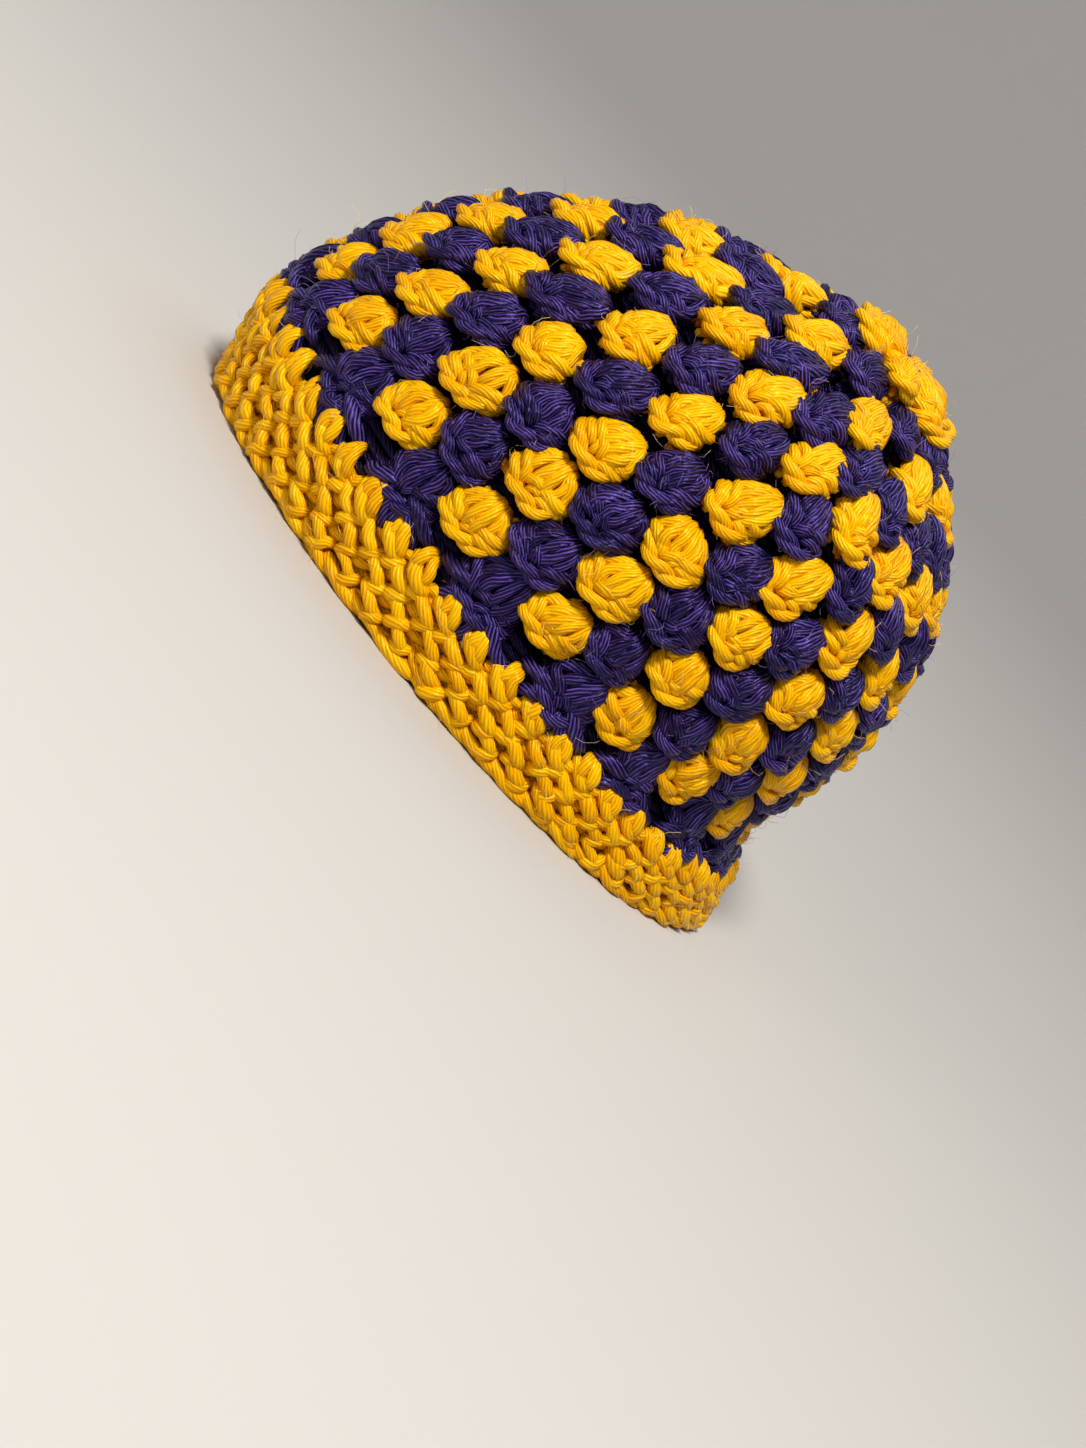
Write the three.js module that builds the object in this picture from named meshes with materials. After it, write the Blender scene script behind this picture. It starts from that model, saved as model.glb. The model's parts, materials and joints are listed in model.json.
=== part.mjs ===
import * as THREE from "three";

// Crochet beanie, worked from the crown down in rounds of puffed clusters, with a plain brim band.
// Millimetres, +Z up. The brim rests on z = 0, the forehead faces -Y and the wearer's left faces +X.

// Sections of the outer face, from the brim edge to the crown. Places along the wall are counted in
// rounds: round 1 is centred on 1 and ends at 1.5, and the brim band ends at 0.5.
// height is on the axis, front, back and side are reaches from it, and slope is the drop per mm of +Y.
const SECTIONS = [
  { round: 0, height: 0, front: 102, back: 109, side: 75, slope: 0 },
  { round: 0.5, height: 24.2, front: 109.5, back: 103, side: 78, slope: 0.065 },
  { round: 1, height: 34.5, front: 109, back: 98, side: 79, slope: 0.085 },
  { round: 2, height: 43, front: 105.8, back: 97.5, side: 80, slope: 0.092 },
  { round: 3, height: 53.2, front: 102.5, back: 99, side: 81, slope: 0.097 },
  { round: 5, height: 73.2, front: 92.9, back: 100.5, side: 81, slope: 0.11 },
  { round: 7, height: 93.3, front: 78.1, back: 98.1, side: 77, slope: 0.122 },
  { round: 9, height: 115.7, front: 55.5, back: 90.7, side: 67.5, slope: 0.135 },
  { round: 10, height: 125.8, front: 42, back: 83.1, side: 60, slope: 0.14 },
  { round: 11, height: 134.6, front: 27.5, back: 74.3, side: 51, slope: 0.143 },
  { round: 12, height: 142.3, front: 12.7, back: 64.7, side: 41, slope: 0.146 },
  { round: 13, height: 149.1, front: -0.5, back: 53.5, side: 29, slope: 0.148 },
  { round: 14, height: 153.9, front: -11.5, back: 40.5, side: 16, slope: 0.15 },
  { round: 15, height: 156, front: -24.5, back: 24.5, side: 0, slope: 0.15 },
];
const TOP_ROUND = 15;
// The widest place lies this far behind the middle of a full section, less in a small one.
const EGG_SHIFT = 7;
const EGG_FULL_REACH = 60;

// Rounds of clusters: how many go round, and the column that the first one is centred on.
const ROUNDS = [
  { first: 1, last: 11, clusters: 18, oddStart: -2, evenStart: 0 },
  { first: 12, last: 13, clusters: 9, oddStart: 4, evenStart: 0 },
  { first: 14, last: 14, clusters: 6, oddStart: 0, evenStart: 0 },
];
const LAST_ROUND = 14;
// Columns are the angles at which the walls are drawn. The small crown rounds use every second one.
const COLUMNS = 72;
const COARSE_FROM_ROUND = 12;
const FIRST_ANGLE = 9.9;
const LEAN_PER_ROUND = 0.65;
const SIDE_CROWDING = 0.025;

// Wall depths, measured in from the outer face.
const WALL = 9.5;
const VALLEY = 5.4;
const NECK = 6.2;
const PUFF_FALL_OFF = 0.8;
const BRIM_SEAM_VALLEY = 2.2;
const BRIM_WALL = 7;
const BRIM_EDGE_ROUNDING = 1.3;

// Seams between rounds run in waves, because the clusters of one round sit between those of the next.
const SEAM_WAVE = 0.38;
const SEAM_ROUNDING = 0.5;
const SEAM_GAP = 0.6;
const FLAT_SEAM_FROM = 13;
// Under the flat foot of a cluster the wall is open where the round below leaves a gap.
const FIRST_OPEN_SEAM = 5;
const LAST_OPEN_SEAM = 11;
const OPENING_RISE = 0.44;

const YELLOW = new THREE.MeshStandardMaterial({ color: "#f0b010", roughness: 0.9, metalness: 0 });
const PURPLE = new THREE.MeshStandardMaterial({ color: "#3c2c7a", roughness: 0.9, metalness: 0 });

// Smooth value of every column of the section table at a place along the wall.
function sectionAt(round) {
  const place = Math.min(Math.max(round, 0), TOP_ROUND);
  let index = SECTIONS.findIndex((row) => row.round > place) - 1;
  if (index < 0) {
    index = SECTIONS.length - 2;
  }
  const start = SECTIONS[index];
  const end = SECTIONS[index + 1];
  const before = SECTIONS[Math.max(index - 1, 0)];
  const after = SECTIONS[Math.min(index + 2, SECTIONS.length - 1)];
  const span = end.round - start.round;
  const part = (place - start.round) / span;
  const section = {};
  for (const name of ["height", "front", "back", "side", "slope"]) {
    const startTurn = (end[name] - before[name]) / (end.round - before.round);
    const endTurn = (after[name] - start[name]) / (after.round - start.round);
    section[name] =
      (1 + 2 * part) * (1 - part) ** 2 * start[name] +
      part * (1 - part) ** 2 * span * startTurn +
      part ** 2 * (3 - 2 * part) * end[name] +
      part ** 2 * (part - 1) * span * endTurn;
  }
  return section;
}

// Point of the outer face at a place along the wall and an angle from +X towards +Y.
function outerPoint(round, angle) {
  const section = sectionAt(round);
  const middle = (section.back - section.front) / 2;
  const reach = (section.back + section.front) / 2;
  const across = Math.cos(angle);
  const egg = EGG_SHIFT * Math.min(1, reach / EGG_FULL_REACH) * across ** 2;
  const y = middle + reach * Math.sin(angle) + egg;
  return new THREE.Vector3(section.side * across, y, section.height - section.slope * y);
}

// Unit vectors up along the wall and out of it. The brim edge faces straight outwards.
function wallDirections(round, angle) {
  const small = 0.01;
  const above = outerPoint(Math.min(round + small, TOP_ROUND), angle);
  const below = outerPoint(Math.max(round - small, 0), angle);
  const up = above.sub(below).normalize();
  const around = outerPoint(round, angle + small).sub(outerPoint(round, angle - small));
  const out = around.cross(up);
  const brimEnd = SECTIONS[1].round;
  out.z *= Math.min(1, round / brimEnd);
  return { up, out: out.normalize() };
}

function columnAngle(round, column) {
  const angle = THREE.MathUtils.degToRad(FIRST_ANGLE - LEAN_PER_ROUND * round + (360 / COLUMNS) * column);
  return angle + SIDE_CROWDING * Math.cos(angle);
}

// Point in the wall: depth is measured inwards, and lift moves it up along the wall.
function wallPoint(round, column, depth, lift = 0) {
  const angle = columnAngle(round, column);
  const { up, out } = wallDirections(round, angle);
  return outerPoint(round, angle).addScaledVector(out, -depth).addScaledVector(up, lift);
}

// Phase in a round's pattern: 0 at the middle of a cluster and half a turn at the neck between two.
function clusterPhase(round, column) {
  const kind = ROUNDS.find((row) => round >= row.first && round <= row.last);
  const start = round % 2 ? kind.oddStart : kind.evenStart;
  return (2 * Math.PI * (column - start) * kind.clusters) / COLUMNS;
}

// Place of the seam over a round at a column, as seen from the round below it.
function seamPlace(below, column) {
  if (below < 1 || below >= FLAT_SEAM_FROM) {
    return below + 0.5;
  }
  const phase = clusterPhase(below, column);
  return below + 0.5 + SEAM_WAVE * (Math.cos(phase) + SEAM_ROUNDING * Math.sin(phase) ** 2);
}

// The same seam from the round above it, which leaves an opening under the middle of a cluster.
function footPlace(below, column) {
  const above = below + 1;
  const open = below >= FIRST_OPEN_SEAM && below <= LAST_OPEN_SEAM;
  const underMiddle = open && Math.cos(clusterPhase(above, column)) > 0.99;
  return seamPlace(below, column) + (underMiddle ? OPENING_RISE : 0);
}

function seamDepth(below) {
  return below === 0 ? BRIM_SEAM_VALLEY : VALLEY;
}

// Wall sections at the columns from the outside bottom, up, in and down, joined into one closed ring.
// The last strip is split the other way, so that it lies parallel to the top of the ring below it.
function ringGeometry(sections) {
  const size = sections[0].length;
  const positions = sections.flat().flatMap((point) => point.toArray());
  const faces = [];
  for (let column = 0; column < sections.length; column += 1) {
    const next = (column + 1) % sections.length;
    for (let row = 0; row < size; row += 1) {
      const nextRow = (row + 1) % size;
      const a = column * size + row;
      const b = next * size + row;
      const c = next * size + nextRow;
      const d = column * size + nextRow;
      const corners = nextRow === 0 ? [a, b, d, b, c, d] : [a, b, c, a, c, d];
      faces.push(...corners);
    }
  }
  return meshGeometry(positions, faces);
}

function meshGeometry(positions, faces) {
  const geometry = new THREE.BufferGeometry();
  geometry.setAttribute("position", new THREE.Float32BufferAttribute(positions, 3));
  geometry.setIndex(faces);
  geometry.computeVertexNormals();
  return geometry;
}

// Columns that a round is drawn at.
function roundColumns(round) {
  const stride = round >= COARSE_FROM_ROUND ? 2 : 1;
  return Array.from({ length: COLUMNS / stride }, (unused, index) => index * stride);
}

// Top edge points of a round, outside first. Under a coarser round an odd column lies halfway between
// its neighbours, so that the two seam walls stay parallel.
function topEdge(round, column) {
  const halfway = column % 2 === 1 && round + 1 === COARSE_FROM_ROUND;
  if (halfway) {
    const before = topEdge(round, column - 1);
    const after = topEdge(round, column + 1);
    return before.map((point, index) => point.add(after[index]).multiplyScalar(0.5));
  }
  const place = seamPlace(round, column);
  return [seamDepth(round), WALL].map((depth) => wallPoint(place, column, depth, -SEAM_GAP / 2));
}

function bottomEdge(round, column) {
  const place = footPlace(round - 1, column);
  return [seamDepth(round - 1), WALL].map((depth) => wallPoint(place, column, depth, SEAM_GAP / 2));
}

// One round: a chain of puffs, high and proud at each cluster and low and sunk at each neck.
function clusterRound(round) {
  const rows = [
    { share: 0.28, fullness: 0.86 },
    { share: 0.7, fullness: 1 },
  ];
  const sections = roundColumns(round).map((column) => {
    const [topOut, topIn] = topEdge(round, column);
    const [bottomOut, bottomIn] = bottomEdge(round, column);
    const low = footPlace(round - 1, column);
    const high = seamPlace(round, column);
    const puff = ((1 + Math.cos(clusterPhase(round, column))) / 2) ** PUFF_FALL_OFF;
    const face = rows.map((row) => {
      const depth = NECK * (1 - puff * row.fullness);
      return wallPoint(low + (high - low) * row.share, column, depth);
    });
    return [bottomOut, ...face, topOut, topIn, bottomIn];
  });
  return ringGeometry(sections);
}

// Brim band: flat underneath, full in the middle and drawn in at the seam with round 1.
function brimBand() {
  const sections = roundColumns(1).map((column) => {
    const [topOut, topIn] = topEdge(0, column);
    return [
      wallPoint(0, column, BRIM_EDGE_ROUNDING),
      wallPoint(0.13, column, 0),
      wallPoint(0.34, column, 0),
      topOut,
      topIn,
      wallPoint(0, column, BRIM_WALL),
    ];
  });
  return ringGeometry(sections);
}

// Crown centre: the starting ring, drawn as a closed button.
function crownCentre() {
  const columns = roundColumns(LAST_ROUND);
  const count = columns.length;
  const rims = [
    columns.map((column) => bottomEdge(TOP_ROUND, column)[1]),
    columns.map((column) => bottomEdge(TOP_ROUND, column)[0]),
    columns.map((column) => wallPoint(14.66, column, 0.8)),
  ];
  const poleIn = wallPoint(TOP_ROUND - 0.02, 0, WALL);
  const poleOut = wallPoint(TOP_ROUND - 0.02, 0, 0.8);
  const positions = [...rims.flat(), poleIn, poleOut].flatMap((point) => point.toArray());
  const inside = 3 * count;
  const outside = inside + 1;
  const faces = [];
  for (let column = 0; column < count; column += 1) {
    const next = (column + 1) % count;
    faces.push(inside, next, column);
    for (const rim of [0, 1]) {
      const low = rim * count;
      const high = low + count;
      faces.push(low + column, low + next, high + column);
      faces.push(low + next, high + next, high + column);
    }
    faces.push(2 * count + column, 2 * count + next, outside);
  }
  return meshGeometry(positions, faces);
}

function piece(name, geometry, material) {
  const mesh = new THREE.Mesh(geometry, material);
  mesh.name = name;
  return mesh;
}

const beanie = new THREE.Group();
beanie.add(piece("brim_band", brimBand(), YELLOW));
for (let round = 1; round <= LAST_ROUND; round += 1) {
  const name = `round_${String(round).padStart(2, "0")}`;
  beanie.add(piece(name, clusterRound(round), round % 2 ? PURPLE : YELLOW));
}
beanie.add(piece("crown_centre", crownCentre(), PURPLE));

export default beanie;
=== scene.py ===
import json
import math
from collections import namedtuple

import bpy
import numpy as np
from mathutils import Matrix, Vector

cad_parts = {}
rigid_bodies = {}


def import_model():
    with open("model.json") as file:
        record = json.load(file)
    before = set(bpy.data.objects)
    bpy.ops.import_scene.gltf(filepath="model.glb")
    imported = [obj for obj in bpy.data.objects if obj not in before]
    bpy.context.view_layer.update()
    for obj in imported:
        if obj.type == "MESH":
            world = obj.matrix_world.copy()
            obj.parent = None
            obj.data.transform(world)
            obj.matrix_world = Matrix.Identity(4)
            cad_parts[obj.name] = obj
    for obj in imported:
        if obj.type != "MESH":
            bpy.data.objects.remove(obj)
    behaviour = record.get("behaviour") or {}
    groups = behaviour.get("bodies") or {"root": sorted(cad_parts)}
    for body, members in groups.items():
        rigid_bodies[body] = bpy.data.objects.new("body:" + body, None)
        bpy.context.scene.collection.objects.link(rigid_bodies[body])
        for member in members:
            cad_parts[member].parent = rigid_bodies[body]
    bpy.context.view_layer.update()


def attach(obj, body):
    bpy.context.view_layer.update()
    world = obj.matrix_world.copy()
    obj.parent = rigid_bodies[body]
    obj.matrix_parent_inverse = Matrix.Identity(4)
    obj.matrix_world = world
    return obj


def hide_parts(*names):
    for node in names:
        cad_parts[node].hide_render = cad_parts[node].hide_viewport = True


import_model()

bl_info = {
    "name": "Crochet beanie",
    "version": (1, 0, 0),
    "blender": (4, 5, 0),
    "location": "3D View > Sidebar > Beanie",
    "description": "Crochet beanie of puffed clusters with a plain stitched brim, on a pale sweep",
    "category": "Object",
}

MM = 0.001
BODY = "root"

# Sections of the outer face, as in the part: places along the wall are counted in rounds, sizes in mm.
Section = namedtuple("Section", "round height front back side slope")
SECTIONS = (
    Section(0, 0, 102, 109, 75, 0),
    Section(0.5, 24.2, 109.5, 103, 78, 0.065),
    Section(1, 34.5, 109, 98, 79, 0.085),
    Section(2, 43, 105.8, 97.5, 80, 0.092),
    Section(3, 53.2, 102.5, 99, 81, 0.097),
    Section(5, 73.2, 92.9, 100.5, 81, 0.11),
    Section(7, 93.3, 78.1, 98.1, 77, 0.122),
    Section(9, 115.7, 55.5, 90.7, 67.5, 0.135),
    Section(10, 125.8, 42, 83.1, 60, 0.14),
    Section(11, 134.6, 27.5, 74.3, 51, 0.143),
    Section(12, 142.3, 12.7, 64.7, 41, 0.146),
    Section(13, 149.1, -0.5, 53.5, 29, 0.148),
    Section(14, 153.9, -11.5, 40.5, 16, 0.15),
    Section(15, 156, -24.5, 24.5, 0, 0.15),
)
SECTION_TABLE = np.array(SECTIONS, float)
TOP_PLACE = 15.0
BRIM_TOP = 0.5

# Each section is an egg: its widest place lies EGG_SHIFT mm towards the nape, and less near the crown.
EGG_SHIFT = 7.0
EGG_FULL_REACH = 60.0

# How the clusters stand round the hat, in degrees, and by what share they lie closer at the nape
LAST_ROUND = 14
FIRST_ANGLE = 9.9
LEAN_PER_ROUND = 0.65
NAPE_CROWDING = 0.025
BRIM_STITCHES = 54

# Clusters in the rounds up to each of these, and the first one's angle in an odd and in an even round
Count = namedtuple("Count", "last_round clusters odd_first even_first")
COUNTS = (Count(11, 18, -10.0, 0.0), Count(13, 9, 20.0, 0.0), Count(14, 6, 0.0, 0.0))


def section_values(place):
    """Height, front, back, side and slope at places along the wall, smooth through the table."""
    rounds = SECTION_TABLE[:, 0]
    place = np.clip(place, 0, TOP_PLACE)
    index = np.clip(np.searchsorted(rounds, place, side="right") - 1, 0, len(rounds) - 2)
    before = np.maximum(index - 1, 0)
    after = np.minimum(index + 2, len(rounds) - 1)
    values = SECTION_TABLE[:, 1:]
    span = (rounds[index + 1] - rounds[index])[..., None]
    part = (place - rounds[index])[..., None] / span
    start_turn = (values[index + 1] - values[before]) / (rounds[index + 1] - rounds[before])[..., None]
    end_turn = (values[after] - values[index]) / (rounds[after] - rounds[index])[..., None]
    return (
        (1 + 2 * part) * (1 - part) ** 2 * values[index]
        + part * (1 - part) ** 2 * span * start_turn
        + part**2 * (3 - 2 * part) * values[index + 1]
        + part**2 * (part - 1) * span * end_turn
    )


def face_points(place, angle):
    """Points of the outer face in mm, from places along the wall and angles from +X towards +Y."""
    height, front, back, side, slope = np.moveaxis(section_values(place), -1, 0)
    middle = (back - front) / 2
    reach = (back + front) / 2
    egg = EGG_SHIFT * np.minimum(1, reach / EGG_FULL_REACH) * np.cos(angle) ** 2
    y = middle + reach * np.sin(angle) + egg
    return np.stack([side * np.cos(angle), y, height - slope * y], axis=-1)


def unit(vectors):
    """Vectors of the same directions and a length of one."""
    return vectors / np.maximum(np.linalg.norm(vectors, axis=-1, keepdims=True), 1e-9)


def wall_slopes(place, angle):
    """Change of the outer face in mm for one round up and for one radian round."""
    small = 0.01
    above = np.minimum(place + small, TOP_PLACE)
    below = np.maximum(place - small, 0)
    up = (face_points(above, angle) - face_points(below, angle)) / (above - below)[..., None]
    around = (face_points(place, angle + small) - face_points(place, angle - small)) / (2 * small)
    return up, around


LENGTH_STEPS = 300
LENGTH_PLACES = np.linspace(0, TOP_PLACE, LENGTH_STEPS + 1)
LENGTH_COLUMNS = 24
COLUMN_ANGLES = np.linspace(0, 2 * math.pi, LENGTH_COLUMNS, endpoint=False)
LEAST_TURN_RADIUS = 1.0


def mean_wall_lengths():
    """Length of wall from the brim edge up to each of LENGTH_PLACES, averaged round the hat."""
    grid = face_points(*np.meshgrid(LENGTH_PLACES, COLUMN_ANGLES, indexing="ij"))
    steps = np.linalg.norm(np.diff(grid, axis=0), axis=-1).mean(axis=1)
    return np.concatenate([[0], np.cumsum(steps)])


WALL_LENGTHS = mean_wall_lengths()


def on_wall(place, angle, across, along, out):
    """Points in mm at offsets from a place on the wall: across it, up along it and out of it."""
    up, around = wall_slopes(place, angle)
    local_rate = np.linalg.norm(up, axis=-1)
    mean_rate = np.interp(place, LENGTH_PLACES, np.gradient(WALL_LENGTHS, LENGTH_PLACES))
    length = np.interp(place, LENGTH_PLACES, WALL_LENGTHS) + along * mean_rate / local_rate
    there = np.interp(length, WALL_LENGTHS, LENGTH_PLACES)
    below_edge = np.minimum(length, 0)
    around_there = np.linalg.norm(wall_slopes(there, angle)[1], axis=-1)
    turned = angle + across / np.maximum(around_there, LEAST_TURN_RADIUS)
    up, around = wall_slopes(there, turned)
    normal = np.cross(around, up)
    normal[..., 2] *= np.minimum(1, there / BRIM_TOP)
    points = face_points(there, turned) + unit(normal) * out[..., None]
    points[..., 2] += below_edge
    return points


def cluster_angle(place, degrees):
    """Angle in radians from one counted in the clusters' own leaning columns."""
    angle = np.radians(FIRST_ANGLE - LEAN_PER_ROUND * place + degrees)
    return angle + NAPE_CROWDING * np.cos(angle)


def clusters_in(round_number):
    """Clusters in a round, and the angle in degrees of the first one."""
    count = next(count for count in COUNTS if round_number <= count.last_round)
    return count.clusters, count.odd_first if round_number % 2 == 1 else count.even_first


# Strands of yarn, in mm: their room above the floor, the length in which a ply goes round once, and how far
# apart the pattern may start on two of them. Their ends bulge by a share of the radius.

FLOOR_CLEARANCE = 0.05
PLY_TURN = -28.0
RUN_SPREAD = 50.0
CAP_SHARE = 0.6


def smooth_paths(controls, steps):
    """Catmull-Rom curves through control points, controls being (strand, point, xyz)."""
    count = controls.shape[1]
    places = np.linspace(0, count - 1, steps)
    index = np.minimum(places.astype(int), count - 2)
    part = (places - index)[None, :, None]
    p0 = controls[:, np.maximum(index - 1, 0)]
    p1 = controls[:, index]
    p2 = controls[:, index + 1]
    p3 = controls[:, np.minimum(index + 2, count - 1)]
    return 0.5 * (
        2 * p1
        + (p2 - p0) * part
        + (2 * p0 - 5 * p1 + 4 * p2 - p3) * part**2
        + (3 * p1 - p0 - 3 * p2 + p3) * part**3
    )


def strand_frames(paths):
    """Two unit vectors across each path, carried along it without twisting, and its running length."""
    steps = np.diff(paths, axis=1)
    passed = np.cumsum(np.linalg.norm(steps, axis=-1), axis=1)
    lengths = np.concatenate([np.zeros((len(paths), 1)), passed], axis=1)
    tangents = unit(np.gradient(paths, axis=1))
    axes = np.eye(3)[np.argmin(np.abs(tangents[:, 0]), axis=-1)]
    side = unit(np.cross(tangents[:, 0], axes))
    sides = np.empty_like(paths)
    for step in range(paths.shape[1]):
        tangent = tangents[:, step]
        side = unit(side - np.sum(side * tangent, axis=-1, keepdims=True) * tangent)
        sides[:, step] = side
    return tangents, sides, np.cross(tangents, sides), lengths


class YarnMesh:
    """Gathers strands of yarn as arrays, and makes one mesh of them."""

    def __init__(self, rng):
        self.rng = rng
        self.points = []
        self.faces = {3: [], 4: []}
        self.uvs = {3: [], 4: []}
        self.tones = []
        self.count = 0

    def add(self, paths, radii, sides=7, ply_turn=PLY_TURN, tone=0.0):
        """Adds one closed tube for each path in mm; radii has one value for each path point.

        A ply goes once round in ply_turn mm, and a tone below zero paints shade on strands, which makes them
        darker.
        """
        strands, steps = paths.shape[:2]
        tangents, side, other, lengths = strand_frames(paths)
        corners = 2 * math.pi * np.arange(sides) / sides
        rings = paths[:, :, None] + radii[..., None, None] * (
            np.cos(corners)[:, None] * side[:, :, None] + np.sin(corners)[:, None] * other[:, :, None]
        )
        start = paths[:, 0] - tangents[:, 0] * radii[:, :1] * CAP_SHARE
        end = paths[:, -1] + tangents[:, -1] * radii[:, -1:] * CAP_SHARE
        block = np.concatenate([rings.reshape(strands, -1, 3), start[:, None], end[:, None]], axis=1)
        block[..., 2] = np.maximum(block[..., 2], FLOOR_CLEARANCE)
        stride = steps * sides + 2
        base = self.count + stride * np.arange(strands)
        row, column = np.meshgrid(np.arange(steps - 1), np.arange(sides), indexing="ij")
        beside = (column + 1) % sides
        here = row * sides
        ahead = here + sides
        quads = np.stack([here + column, here + beside, ahead + beside, ahead + column], axis=-1)
        quads = quads.reshape(-1, 4)
        around = np.arange(sides)
        following = (around + 1) % sides
        last = (steps - 1) * sides
        caps = np.concatenate(
            [
                np.stack([np.full(sides, steps * sides), following, around], axis=-1),
                np.stack([np.full(sides, steps * sides + 1), last + around, last + following], axis=-1),
            ]
        )
        self.faces[4].append((quads[None] + base[:, None, None]).reshape(-1, 4))
        self.faces[3].append((caps[None] + base[:, None, None]).reshape(-1, 3))
        run = lengths + RUN_SPREAD * self.rng.random((strands, 1))
        turns = run / ply_turn
        forward = np.stack([row, row, row + 1, row + 1], axis=-1).reshape(-1, 4)
        across = np.stack([column, column + 1, column + 1, column], axis=-1).reshape(-1, 4) / sides
        wall_uvs = np.stack([across + turns[:, forward], run[:, forward]], axis=-1)
        self.uvs[4].append(wall_uvs.reshape(-1, 2))
        cap_forward = np.repeat([0, steps - 1], sides)[:, None] * np.ones(3, int)
        cap_across = np.tile(np.stack([around + 0.5, around + 1, around], axis=-1) / sides, (2, 1))
        cap_uvs = np.stack([cap_across + turns[:, cap_forward], run[:, cap_forward]], axis=-1)
        self.uvs[3].append(cap_uvs.reshape(-1, 2))
        self.points.append(block.reshape(-1, 3))
        # Each strand gets a random tone, and a tone offset below zero adds painted shade
        self.tones.append(np.repeat(tone + self.rng.random(strands), stride))
        self.count += strands * stride

    def make_object(self, name, material):
        """One mesh object of all the strands, in metres, riding on the hat's body."""
        points = np.concatenate(self.points) * MM
        quads = np.concatenate(self.faces[4])
        triangles = np.concatenate(self.faces[3])
        corners = np.concatenate([quads.ravel(), triangles.ravel()])
        quad_starts = 4 * np.arange(len(quads))
        starts = np.concatenate([quad_starts, 4 * len(quads) + 3 * np.arange(len(triangles))])
        mesh = bpy.data.meshes.new(name)
        mesh.vertices.add(len(points))
        mesh.vertices.foreach_set("co", points.astype(np.float32).ravel())
        mesh.loops.add(len(corners))
        mesh.loops.foreach_set("vertex_index", corners.astype(np.int32))
        mesh.polygons.add(len(starts))
        mesh.polygons.foreach_set("loop_start", starts.astype(np.int32))
        mesh.polygons.foreach_set("use_smooth", np.ones(len(starts), bool))
        mesh.update(calc_edges=True)
        uvs = np.concatenate(self.uvs[4] + self.uvs[3])
        mesh.uv_layers.new(name="strand").data.foreach_set("uv", uvs.astype(np.float32).ravel())
        tone = mesh.attributes.new("tone", "FLOAT", "POINT")
        tone.data.foreach_set("value", np.concatenate(self.tones).astype(np.float32))
        mesh.materials.append(material)
        piece = bpy.data.objects.new(name, mesh)
        bpy.context.scene.collection.objects.link(piece)
        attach(piece, BODY)
        return piece


def taper(steps, ends, fullness):
    """Share of the full radius along a strand, which rounds off to its ends, later when it is fuller."""
    places = np.linspace(-1, 1, steps)
    share = np.where(places < 0, ends[0], ends[1])
    return share + (1 - share) * (1 - np.abs(places) ** fullness) ** (1 / fullness)


# Where the stitches of one row stand, how big each one is, and how it is turned, shifted, leant and
# lifted off the wall: places in rounds, angles and turns in radians, leans in half widths, the rest in
# mm. A negative half width mirrors the stitch.
Stand = namedtuple(
    "Stand", "places angles half_width half_height turn shift pitch lean lift", defaults=(0.0,)
)

# How strands are laid: points along each, thickness in strands of yarn, share of it left at the ends, how
# far the points stray (two shares of the stitch and a depth in mm), sides of the tube, mm of strand for
# one turn of a ply, how full the ends are, and tone, which below zero is painted shade
Laying = namedtuple(
    "Laying", "steps thickness ends stray sides ply_turn fullness tone", defaults=(7, PLY_TURN, 3.0, 0.0)
)
THICKNESS_STRAY = 0.09
MAX_STRAY = 2


def jitter(rng, shape, spread):
    """Random differences of a spread, none of them more than MAX_STRAY times it."""
    return np.clip(rng.standard_normal(shape), -MAX_STRAY, MAX_STRAY) * np.array(spread)


def loop_offsets(rng, stand, strands, spread):
    """Offsets in mm of (stitch, strand, point) from a list of strands in shares of a stitch's half size."""
    table = np.array(strands, float)
    stitches, count = len(stand.places), len(table)
    points = table[None] + jitter(rng, (stitches, *table.shape), spread)
    points = points + jitter(rng, (stitches, count, 1, 3), spread)
    across = (points[..., 0] - stand.lean[:, None, None] * points[..., 1]) * stand.half_width[:, None, None]
    along = points[..., 1] * stand.half_height[:, None, None]
    cos, sin = np.cos(stand.turn)[:, None, None], np.sin(stand.turn)[:, None, None]
    turned = np.stack([across * cos - along * sin, across * sin + along * cos], axis=-1)
    return np.concatenate([turned + stand.shift[:, None, None], points[..., 2:] + stand.lift], axis=-1)


def loop_points(stand, offsets):
    """Points in mm of (stitch, strand, point) offsets."""
    shape = offsets.shape[:3]
    place = np.broadcast_to(stand.places[:, None, None], shape)
    angle = np.broadcast_to(stand.angles[:, None, None], shape)
    return on_wall(place, angle, offsets[..., 0], offsets[..., 1], offsets[..., 2])


def add_loops(yarn, stand, strands, radius, laying):
    """Adds the same list of strands to each stitch, every one a little different."""
    world = loop_points(stand, loop_offsets(yarn.rng, stand, strands, laying.stray))
    paths = smooth_paths(world.reshape(-1, world.shape[2], 3), laying.steps)
    sizes = radius * laying.thickness * (1 + THICKNESS_STRAY * jitter(yarn.rng, (len(paths), 1), 1.0))
    radii = sizes * taper(laying.steps, laying.ends, laying.fullness)[None]
    yarn.add(paths, radii, laying.sides, laying.ply_turn, laying.tone)


def add_even(yarn, paths, radius, **shape):
    """Adds strands that are all equally thick; radius is one value or one for each path point."""
    yarn.add(paths, np.broadcast_to(radius, paths.shape[:2]), **shape)


def rope_paths(rng, centre, steps, lay_radius, lay_length):
    """Two strands laid round each centre line."""
    paths = smooth_paths(centre, steps)
    tangents, side, other, lengths = strand_frames(paths)
    start = rng.random((len(paths), 1))
    both = []
    for half in (0, 0.5):
        turn = 2 * math.pi * (start + half - lengths / lay_length)
        both.append(paths + lay_radius * (np.cos(turn)[..., None] * side + np.sin(turn)[..., None] * other))
    return np.concatenate(both)


# Cluster of double crochets: its points are (across, up, out), in half widths, half heights and mm. Its
# upper strands make the dome, curls come in from both sides, wraps lie over its post, the lip is its
# lower edge, the backs show inside the hat, and feet join the first round to the brim.

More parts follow.
